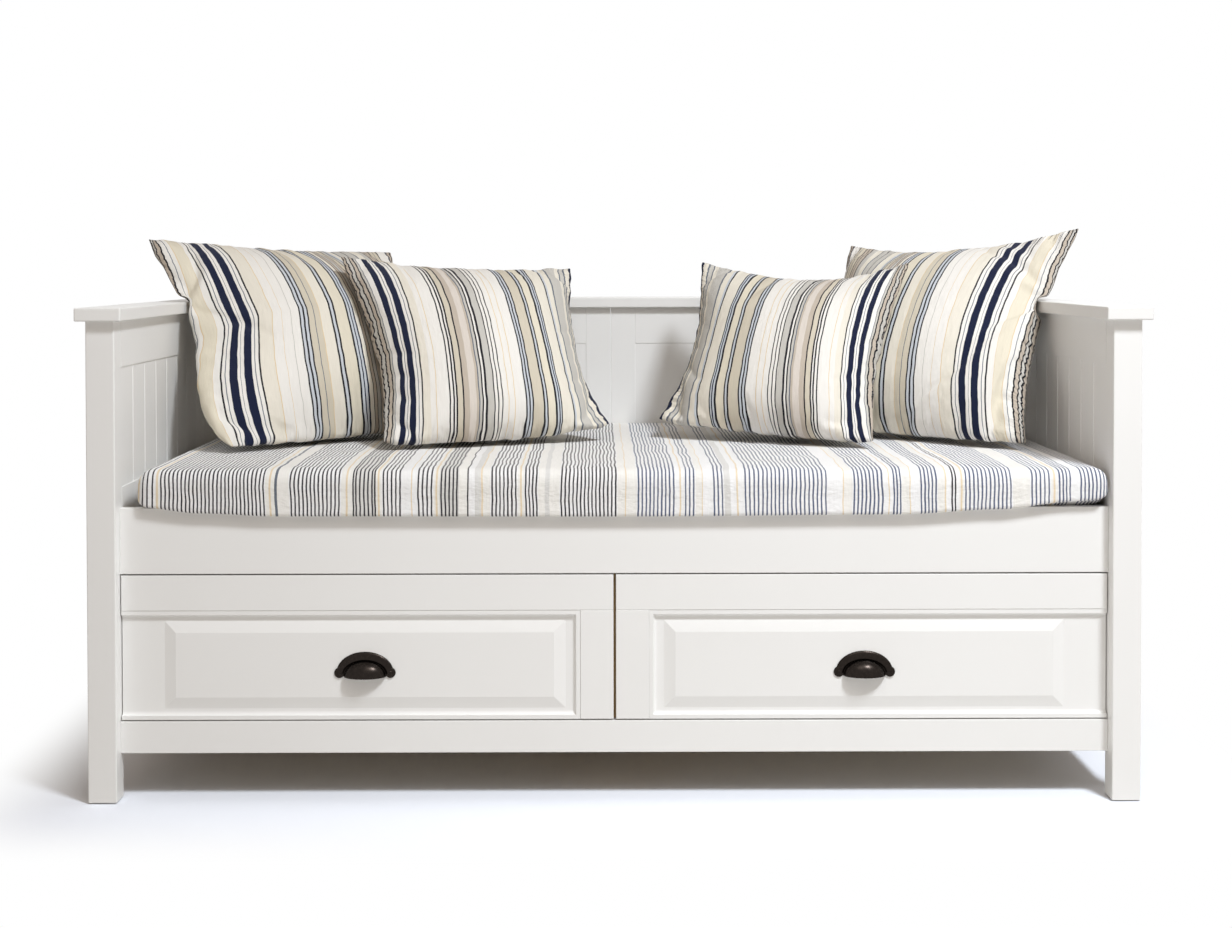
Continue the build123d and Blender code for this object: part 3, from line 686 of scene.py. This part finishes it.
def stuff(case):
    """Pump the case up as cloth, with spare cloth in the faces and a seam drawn tight, as a plain mesh."""
    cloth = case.modifiers.new("stuffing", "CLOTH")
    for setting, value in CLOTH_SETTINGS.items():
        setattr(cloth.settings, setting, value)
    cloth.settings.effector_weights.gravity = 0.25
    cloth.collision_settings.distance_min = CLOTH_GAP
    cloth.point_cache.frame_start = 1
    cloth.point_cache.frame_end = FRAMES
    for step in range(1, FRAMES + 1):
        scene.frame_set(step)
    mesh = bpy.data.meshes.new_from_object(case.evaluated_get(bpy.context.evaluated_depsgraph_get()))
    name = case.name
    bpy.data.objects.remove(case)
    cushion = add_object(name, mesh)
    scene.frame_set(1)
    return cushion


# %% Gathers and creases
GATHER_HEIGHT = 0.0045
GATHER_SHARE = 0.045
GATHER_WAVES = 17
CREASE_HEIGHT = 0.0055
CREASE_WAVES = (9, 3)
CREASE_START = 0.03
CREASE_REACH = 0.16
CREASE_SEED = 5.0
NEXT_SEED = 3.7


def crease(cushion, shares, seed):
    """Uneven gathers along the seams, and shallow creases that run down the case with the stripes."""
    normals = [vertex.normal.copy() for vertex in cushion.data.vertices]
    for number, (s, t) in shares.items():
        rim = min(s, 1 - s, t, 1 - t)
        gather = noise.noise(Vector((s * GATHER_WAVES, t * GATHER_WAVES, seed)))
        gather *= math.exp(-(rim / GATHER_SHARE) ** 2)
        run = noise.noise(Vector((s * CREASE_WAVES[0], t * CREASE_WAVES[1], seed + CREASE_SEED)))
        run *= math.exp(-rim / CREASE_REACH) * (1 - math.exp(-rim / CREASE_START))
        off = gather * GATHER_HEIGHT + run * CREASE_HEIGHT
        cushion.data.vertices[number].co += normals[number] * off
    cushion.data.update()


# %% Corner points, edge points and rests
seat_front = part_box("front_left_post")[0].y
mattress_low, mattress_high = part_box("mattress")
CUSHION_CORNERS = {
    "left_rear": ((-806, 259, 664), (-330, 647, 676), (-1068, 580, 1114), (-544, 928, 1085)),
    "right_rear": ((372, 680, 672), (878, 288, 664), (597, 935, 1100), (1081, 588, 1137)),
    "left_front": ((-496, 309, 667), (0, 493, 689), (-635, 619, 1073), (-93, 830, 1045)),
    "right_front": ((99, 550, 693), (558, 301, 669), (218, 835, 1060), (691, 599, 1058)),
}
STRIPE_SKEW = {"left_rear": 0.105, "right_rear": 0.0, "left_front": 0.02, "right_front": 0.05}
LEFT_BELLY = {"left_rear": (-30, -9, -7)}
CUSHION_EDGES = {
    "left_rear": {"left": (-914, 423, 879), "top": (-831, 765, 1088), "bottom": (-582, 465, 666)},
    "right_rear": {"right": (929, 430, 876), "top": (825, 765, 1082), "bottom": (642, 490, 668)},
    "left_front": {"top": (-365, 730, 1040), "bottom": (-244, 385, 666)},
    "right_front": {"top": (475, 715, 1013), "bottom": (345, 425, 676)},
}


def bed_point(x, y, z):
    """Millimetres along, behind the posts' front and up, as a point in metres."""
    return Vector((x * MM, seat_front + y * MM, z * MM))


MATTRESS_REST = ((-1.2, -0.6, 0.4), (1.2, 0.6, mattress_high.z))
REST_GAP = 0.004


def hold_back(piece):
    """Make a piece solid to the cloth, only for the time of the stuffing."""
    piece.modifiers.new("rest", "COLLISION")
    piece.collision.thickness_outer = REST_GAP
    return piece


# %% Stuff the four cushions
cushions = {}
rests = {}
blocks = {"mattress": MATTRESS_REST}
blocks.update({name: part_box(name) for name in ("left_end_cap", "right_end_cap", "rear_cap")})
for name, (low, high) in blocks.items():
    rests[name] = hold_back(mesh_object(block(low, high), f"{name}_rest"))
for name, corners in CUSHION_CORNERS.items():
    edges = {side: bed_point(*place) for side, place in CUSHION_EDGES[name].items()}
    belly = Vector(LEFT_BELLY.get(name, (0.0, 0.0, 0.0))) * MM
    case, shares = sewn_case(f"{name}_cushion", [bed_point(*corner) for corner in corners], edges,
                             STRIPE_SKEW[name], belly)
    case.data.materials.append(large_cover if "rear" in name else small_cover)
    cushion = stuff(case)
    crease(cushion, shares, len(cushions) * NEXT_SEED)
    cushions[name] = cushion
    hold_back(cushion)
    spots = [vertex.co for vertex in cushion.data.vertices]
    reach = [[round(pick(spot[k] for spot in spots), 3) for k in range(3)] for pick in (min, max)]
    print(name, "reaches", reach)
for rest in rests.values():
    bpy.data.objects.remove(rest)
for name, cushion in cushions.items():
    cushion.modifiers.clear()
    for polygon in cushion.data.polygons:
        polygon.use_smooth = True
    smooth = cushion.modifiers.new("smooth", "SUBSURF")
    smooth.levels = smooth.render_levels = 1
    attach(cushion, "frame")
    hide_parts(f"{name}_pillow")


# %% [markdown]
# ## Mattress
# A thin mattress in a fitted cover of crinkled cotton. It has soft corners, a
# slightly crowned top, and a front edge that hangs a finger's width over the seat
# rail and lifts off it at the right end. Its shape follows a rule, one rounded
# section carried from end to end, so it is laid out as a grid of rings. The crinkle
# of the cover is pressed into the grid afterwards, long soft puckers that run with
# the stripes and shorter ones across them.

# %% The cover's stripes
COVER_LINE = 3.0
PEACH_CORE = 3.5
WHITE = "FDFDFD"
HAZE = "E7E6E3"
BUTTER = "FAF8F3"
PEACH = "F0DFC2"
GRAPHITE = "3A373D"
INDIGO = "636B83"
INDIGO_FROM = 0.88
COVER_STRETCHES = (
    (4, WHITE, 0), (8, PEACH, 0), (30, WHITE, 3), (8, PEACH, 0), (207, WHITE, 27), (18, PEACH, 0),
    (5, SLATE, 0), (22, BUTTER, 0), (99, WHITE, 13), (23, PEACH, 0), (3, GRAPHITE, 0), (40, HAZE, 5),
    (3, GRAPHITE, 0), (11, PEACH, 0), (39, WHITE, 5), (18, WHITE, 0), (2, PEACH, 0), (8, WHITE, 0),
    (34, WHITE, 4), (11, PEACH, 0), (37, HAZE, 5), (16, BUTTER, 0), (3, GRAPHITE, 0), (12, WHITE, 0),
    (12, HAZE, 0), (4, PEACH, 0), (14, BUTTER, 0), (54, WHITE, 7), (12, PEACH, 0), (27, WHITE, 4),
    (13, BUTTER, 0), (9, HAZE, 0), (20, BUTTER, 0), (112, WHITE, 15), (14, BUTTER, 0), (2, PEACH, 0),
    (20, BUTTER, 0), (76, WHITE, 10), (8, WHITE, 0), (3, PEACH, 0), (5, WHITE, 0), (24, WHITE, 3),
    (12, BUTTER, 0), (2, PEACH, 0), (18, WHITE, 0), (24, WHITE, 3), (12, HAZE, 0), (12, WHITE, 0),
    (3, PEACH, 0), (10, WHITE, 0), (164, WHITE, 20), (28, WHITE, 0), (2, PEACH, 0), (16, BUTTER, 0),
    (62, WHITE, 8), (8, WHITE, 0), (2, PEACH, 0), (6, WHITE, 0), (20, WHITE, 3), (15, BUTTER, 0),
    (2, PEACH, 0), (17, WHITE, 0), (36, WHITE, 5), (13, BUTTER, 0), (3, PEACH, 0), (10, WHITE, 0),
    (3, GRAPHITE, 0), (3, WHITE, 0), (3, GRAPHITE, 0), (6, WHITE, 0), (9, PEACH, 0), (94, WHITE, 12),
    (34, BUTTER, 0), (42, WHITE, 5), (12, PEACH, 0), (28, WHITE, 4), (14, WHITE, 0), (60, WHITE, 8),
)


def cover_threads():
    """Every line and band of the mattress cover in order, from the stretches above."""
    threads = []
    for width, ground, lines in COVER_STRETCHES:
        if not lines and ground == PEACH and width > PEACH_CORE:
            side = (width - PEACH_CORE) / 2
            threads += [(side, BUTTER), (PEACH_CORE, PEACH), (side, BUTTER)]
            continue
        if not lines:
            threads.append((width, ground))
            continue
        gap = width / lines - COVER_LINE
        line = GRAPHITE if sum(width for width, _ in threads) * MM < INDIGO_FROM else INDIGO
        for _ in range(lines):
            threads += [(gap / 2, ground), (COVER_LINE, line), (gap / 2, ground)]
    return threads


SECTION_LENGTH = 2.2
mattress_width = mattress_high.x - mattress_low.x
# The cover's top is whitened, partly for the crinkle lying flat and partly as painted light for the lit top.
mattress_cover = cotton("crinkled_striped_cotton", cover_threads(), (mattress_width, SECTION_LENGTH),
                        puckers=(80.0, 150.0), wander=0.0050, gathered=False, opened_and_lit=(0.48, 0.54, 0.22))


# %% Rounded section and its stations
SEAT_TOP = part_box("seat_rail")[1].z
RAIL_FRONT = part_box("seat_rail")[0].y
FRONT_ROUNDING = 0.032
PLAN_ROUNDING = 0.024
CROWN = 0.005
UNDER_GAP = 0.0005
UNDER_ROUNDING = FRONT_ROUNDING * 0.4
LIP_THICKNESS = 0.012
LIP_GAP = 0.0006
LIP_SLOPE = 1.6
LIP_END_RISE = 0.018
RAIL_CLEARANCE = 0.003
RING_TURNS = ((0.012, 14), (0.002, 1), (0.006, 1), (0.008, 12), (FRONT_ROUNDING, 90), (0.022, 8))
LIP_LINE = ((-0.934, 0.5775), (-0.805, 0.5645), (-0.66, 0.5585), (0.05, 0.5570), (0.555, 0.5600),
            (0.749, 0.5695), (0.904, 0.5850), (0.969, 0.5900))


def along(points, x):
    """The value at x on a smooth line through points of (x, value)."""
    for (x_low, low), (x_high, high) in zip(points, points[1:]):
        if x <= x_high:
            t = max(0.0, (x - x_low) / (x_high - x_low))
            return low + (high - low) * t * t * (3 - 2 * t)
    return points[-1][1]


def rounded_ring(corners, turns, arc_steps=5):
    """A closed outline round corners (y, z), each with its radius and the steps of the run that follows."""
    arcs = []
    for index, (corner, (radius, _)) in enumerate(zip(corners, turns)):
        here = Vector(corner)
        back = Vector(corners[index - 1]) - here
        on = Vector(corners[(index + 1) % len(corners)]) - here
        reach = min(radius, back.length * 0.49, on.length * 0.49)
        start, finish = here + back.normalized() * reach, here + on.normalized() * reach
        shares = [step / arc_steps for step in range(arc_steps + 1)]
        arcs.append([start.lerp(here, t).lerp(here.lerp(finish, t), t) for t in shares])
    ring = []
    for arc, following, (_, run) in zip(arcs, arcs[1:] + arcs[:1], turns):
        ring += arc + [arc[-1].lerp(following[0], step / run) for step in range(1, run)]
    return ring


def rounding(inset, radius):
    """From 1 at the very end of the bed to 0 at a radius from it, along a quarter of a circle."""
    return 1 - math.sqrt(max(0.0, 1 - (1 - min(inset / radius, 1)) ** 2))


def mattress_ring(x):
    """The section at a station: under side, lip over the rail, front, top and back."""
    inset = min(x - mattress_low.x, mattress_high.x - x)
    plan = rounding(inset, PLAN_ROUNDING)
    edge = rounding(inset, FRONT_ROUNDING)
    front_y = mattress_low.y + PLAN_ROUNDING * plan
    back_y = mattress_high.y - PLAN_ROUNDING * plan
    low = SEAT_TOP + UNDER_GAP + UNDER_ROUNDING * edge
    top = mattress_high.z - CROWN - FRONT_ROUNDING * edge
    lip = along(LIP_LINE, x) + LIP_END_RISE * plan
    behind = RAIL_FRONT + RAIL_CLEARANCE + LIP_SLOPE * max(0.0, lip - low)
    inside = max(RAIL_FRONT - LIP_GAP, front_y + LIP_THICKNESS)
    return rounded_ring(((back_y, low), (behind, low), (inside, lip), (front_y, lip), (front_y, top),
                         (back_y, top)), RING_TURNS)


# %% Build the mattress and press the crinkle in
STATION = 0.006
FRONT_BAND = 0.02
CRINKLE_SINK = 0.0012
PUCKER_WAVES = ((75, 9, 1.0, 0.0010), (16, 42, 5.0, 0.0009), (4, 6, 9.0, 0.0022))
SLIDE_WAVES = ((7, 11, 13.0, 0.0030), (25, 30, 17.0, 0.0010))


def stations():
    """Places along the bed, closer together where the ends are rounded."""
    turn = [PLAN_ROUNDING * (1 - math.cos(math.pi / 2 * k / 10)) for k in range(11)]
    left = [mattress_low.x + t for t in turn]
    right = [mattress_high.x - t for t in reversed(turn)]
    count = round((right[0] - left[-1]) / STATION)
    middle = [left[-1] + (right[0] - left[-1]) * k / count for k in range(1, count)]
    return left + middle + right


def crinkle(waves, x, v):
    """A sum of noises at a place on the cover: waves along and across it, seed and height in metres."""
    return sum(noise.noise(Vector((x * length, v * across, seed))) * height
               for length, across, seed, height in waves)


def make_mattress():
    """Rings of the section at every station, joined, crowned, crinkled and closed at the ends."""
    xs = stations()
    middle = (mattress_low + mattress_high) / 2
    half = (mattress_high - mattress_low) / 2
    build = bmesh.new()
    cloth = build.loops.layers.uv.new("cloth")
    rings, lengths = [], []
    for x in xs:
        outline = mattress_ring(x)
        measured = [0.0]
        for a, b in zip(outline, outline[1:] + outline[:1]):
            measured.append(measured[-1] + (b - a).length)
        ring = []
        for (y, z), v in zip(outline, measured):
            across, back = (x - middle.x) / half.x, (y - middle.y) / half.y
            crown = CROWN * (1 - across ** 4) * (1 - back ** 4)
            on_top = (z - SEAT_TOP) / (mattress_high.z - SEAT_TOP)
            outward = Vector((0, -1, 0)) if y < mattress_low.y + FRONT_BAND else Vector((0, 0, 1))
            fade = max(0.0, min(1.0, on_top * 3 + 0.3)) * (1 - abs(across) ** 12)
            place = Vector((x + crinkle(SLIDE_WAVES, x, v) * fade, y, z + crown * max(0.0, on_top)))
            place += outward * (crinkle(PUCKER_WAVES, x, v) - CRINKLE_SINK) * fade
            ring.append(build.verts.new(place))
        rings.append(ring)
        lengths.append(measured)
    for k, (ring, following) in enumerate(zip(rings, rings[1:])):
        for index in range(len(ring)):
            after = (index + 1) % len(ring)
            face = build.faces.new((ring[index], following[index], following[after], ring[after]))
            places = ((k, index), (k + 1, index), (k + 1, index + 1), (k, index + 1))
            for loop, (station, step) in zip(face.loops, places):
                loop[cloth].uv = ((xs[station] - mattress_low.x) / mattress_width,
                                  lengths[station][step] / SECTION_LENGTH)
    build.faces.new(rings[0])
    build.faces.new(list(reversed(rings[-1])))
    return mesh_object(build, "fitted_mattress", mattress_cover)


mattress = make_mattress()
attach(mattress, "frame")
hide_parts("mattress")
print("mattress faces:", len(mattress.data.polygons))


# %% [markdown]
# ## Cup pulls
# Each pull is a small casting: a half-oval plate that slopes up to a ridge, two
# round ears, and a hollow cup that is open below for the fingers. The plate and the
# cup are both swept round the same half turn, so they are built as one sheet of
# rings from the outer edge over the ridge to the lip of the cup. Solidify then
# gives the sheet its wall.

# %% Cast the cup pulls
EAR_SPACING = 0.100
EAR_RADIUS = 0.0103
EAR_FACE = 0.0030
EAR_PROFILE = ((1.0, 0.0), (1.0, 0.0018), (0.93, 0.0028), (0.78, 0.0032), (0.5, EAR_FACE))
PLATE_HALF_WIDTH = 0.056
PLATE_HEIGHT = 0.041
CUP_HALF_WIDTH = 0.0415
CUP_TOP = 0.0245
CUP_DROP = 0.0075
CUP_DEPTH = 0.0262
CUP_EDGE_RISE = 0.0030
RIDGE_DROP = CUP_DROP * 0.3
WALL = 0.0016
RIDGE = ((0.0, 0.0), (0.0, 0.0010), (0.06, 0.0023), (0.18, 0.0035), (0.36, 0.0044), (0.55, 0.0050),
         (0.72, 0.0056), (0.84, 0.0052), (0.93, 0.0036))
TURN_STEPS = 48
CUP_STEPS = 14


def pull_sheet(side):
    """Rings of the plate, ridge and cup for the pull on one drawer."""
    low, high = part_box(f"{side}_drawer_cup_pull")
    middle = Vector(((low.x + high.x) / 2, high.y, high.z - PLATE_HEIGHT))
    build = bmesh.new()
    rings = []
    for step in range(TURN_STEPS + 1):
        turn = math.pi * step / TURN_STEPS
        outer = Vector((PLATE_HALF_WIDTH * math.cos(turn), PLATE_HEIGHT * math.sin(turn)))
        inner = Vector((CUP_HALF_WIDTH * math.cos(turn), CUP_TOP * math.sin(turn) - RIDGE_DROP))
        ring = []
        for share, rise in RIDGE:
            flat = outer.lerp(inner, share)
            ring.append(middle + Vector((flat.x, -rise, flat.y)))
        for cup in range(CUP_STEPS + 1):
            bend = math.pi / 2 * cup / CUP_STEPS
            reach = math.cos(bend)
            flat = Vector((CUP_HALF_WIDTH * math.cos(turn) * reach,
                           (CUP_TOP + CUP_DROP) * math.sin(turn) * reach - CUP_DROP))
            rise = max(CUP_DEPTH * math.sin(bend), CUP_EDGE_RISE)
            ring.append(middle + Vector((flat.x, -rise, flat.y)))
        rings.append([build.verts.new(place) for place in ring])
    for ring, following in zip(rings, rings[1:]):
        for index in range(len(ring) - 1):
            build.faces.new((ring[index], ring[index + 1], following[index + 1], following[index]))
    bmesh.ops.remove_doubles(build, verts=build.verts, dist=0.00002)
    return build, middle


def lathe(build, radius, profile, axis_point, steps=32):
    """A turned knob or disc whose axis points out of the drawer: profile is (share of radius, rise)."""
    turns = [2 * math.pi * k / steps for k in range(steps)]
    rings = []
    for share, rise in profile:
        out = radius * share
        places = [Vector((out * math.cos(turn), -rise, out * math.sin(turn))) for turn in turns]
        rings.append([build.verts.new(axis_point + place) for place in places])
    for ring, following in zip(rings, rings[1:]):
        for k in range(steps):
            after = (k + 1) % steps
            build.faces.new((ring[k], ring[after], following[after], following[k]))
    build.faces.new(list(reversed(rings[0])))
    build.faces.new(rings[-1])


pull_middles = {}
for side in ("left", "right"):
    build, middle = pull_sheet(side)
    pull_middles[side] = middle
    pull = mesh_object(build, f"{side}_cast_pull", dark_pewter)
    wall = pull.modifiers.new("wall", "SOLIDIFY")
    wall.thickness = WALL
    wall.offset = -1.0
    build = bmesh.new()
    for way in (-1, 1):
        lathe(build, EAR_RADIUS, EAR_PROFILE, middle + Vector((way * EAR_SPACING / 2, 0, 0)))
    ears = mesh_object(build, f"{side}_pull_ears", dark_pewter)
    for piece in (pull, ears):
        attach(piece, f"{side}_drawer")
    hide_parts(f"{side}_drawer_cup_pull")
    print(f"{side} pull faces:", len(pull.data.polygons) + len(ears.data.polygons))


# %% [markdown]
# ## Screws and slats
# What repeats is left to Geometry Nodes. One small tree takes the object's own mesh
# and sets copies of it in a row. It serves the two screws of each pull and, with
# another mesh, the row of slats that carries the mattress. Count and step are
# inputs of the tree, so a longer bed needs only another number. The copies are made
# real at the end of the tree and kept as a plain mesh.

# %% A tree that sets copies in a row
def row_tree():
    """Geometry Nodes: the object's mesh repeated count times, a step apart."""
    tree = bpy.data.node_groups.new("row_of_copies", "GeometryNodeTree")
    face = tree.interface
    face.new_socket("Piece", in_out="INPUT", socket_type="NodeSocketGeometry")
    face.new_socket("Count", in_out="INPUT", socket_type="NodeSocketInt")
    face.new_socket("Step", in_out="INPUT", socket_type="NodeSocketVector")
    face.new_socket("Finish", in_out="INPUT", socket_type="NodeSocketMaterial")
    face.new_socket("Row", in_out="OUTPUT", socket_type="NodeSocketGeometry")
    given = add_node(tree, "NodeGroupInput").outputs
    line = add_node(tree, "GeometryNodeMeshLine", {"Count": given["Count"], "Offset": given["Step"]},
                    mode="OFFSET")
    copies = add_node(tree, "GeometryNodeInstanceOnPoints", {
        "Points": line.outputs[0], "Instance": given["Piece"]})
    real = add_node(tree, "GeometryNodeRealizeInstances", {0: copies.outputs[0]})
    finished = add_node(tree, "GeometryNodeSetMaterial", {
        "Geometry": real.outputs[0], "Material": given["Finish"]})
    tree.links.new(finished.outputs[0], add_node(tree, "NodeGroupOutput").inputs["Row"])
    return tree


def set_in_a_row(piece, count, step, finish):
    """Run the tree on a piece and keep the row as its plain mesh."""
    row = piece.modifiers.new("row", "NODES")
    row.node_group = copies_in_a_row
    sockets = {item.name: item.identifier for item in copies_in_a_row.interface.items_tree}
    row[sockets["Count"]] = count
    row[sockets["Step"]] = step
    row[sockets["Finish"]] = finish
    bpy.context.view_layer.update()
    made = bpy.data.meshes.new_from_object(piece.evaluated_get(bpy.context.evaluated_depsgraph_get()))
    piece.modifiers.clear()
    piece.data = made
    print(piece.name, "copies:", count, "faces:", len(made.polygons))


copies_in_a_row = row_tree()

# %% Screws of the pulls
SCREW_HEAD = 0.0040
SCREW_RISE = 0.0022
HEAD_PROFILE = ((1.0, 0.0), (1.0, 0.0006), (0.9, 0.0012), (0.66, 0.0018), (0.36, 0.0021), (0.1, SCREW_RISE))
for side in ("left", "right"):
    start = pull_middles[side] + Vector((-EAR_SPACING / 2, -EAR_FACE, 0.0))
    build = bmesh.new()
    lathe(build, SCREW_HEAD, HEAD_PROFILE, start, steps=24)
    screws = mesh_object(build, f"{side}_pull_screws", dark_pewter)
    set_in_a_row(screws, 2, (EAR_SPACING, 0.0, 0.0), dark_pewter)
    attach(screws, f"{side}_drawer")
    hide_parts(f"{side}_drawer_pull_screws")

# %% Slats under the mattress
SLAT_COUNT = 15
SLAT_WIDTH = 0.090
SLAT_ROUNDING = 0.004
slats_low, slats_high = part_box("bed_slats")
slat_step = (slats_high.x - slats_low.x - SLAT_WIDTH) / (SLAT_COUNT - 1)
build = block(slats_low, (slats_low.x + SLAT_WIDTH, slats_high.y, slats_high.z))
long_edges = [edge for edge in build.edges if abs(edge.verts[0].co.y - edge.verts[1].co.y) > SLAT_WIDTH]
bmesh.ops.bevel(build, geom=long_edges, offset=SLAT_ROUNDING, segments=3, affect="EDGES")
slats = mesh_object(build, "pine_slats", planed_pine_cross)
set_in_a_row(slats, SLAT_COUNT, (slat_step, 0.0, 0.0), planed_pine_cross)
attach(slats, "frame")
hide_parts("bed_slats")
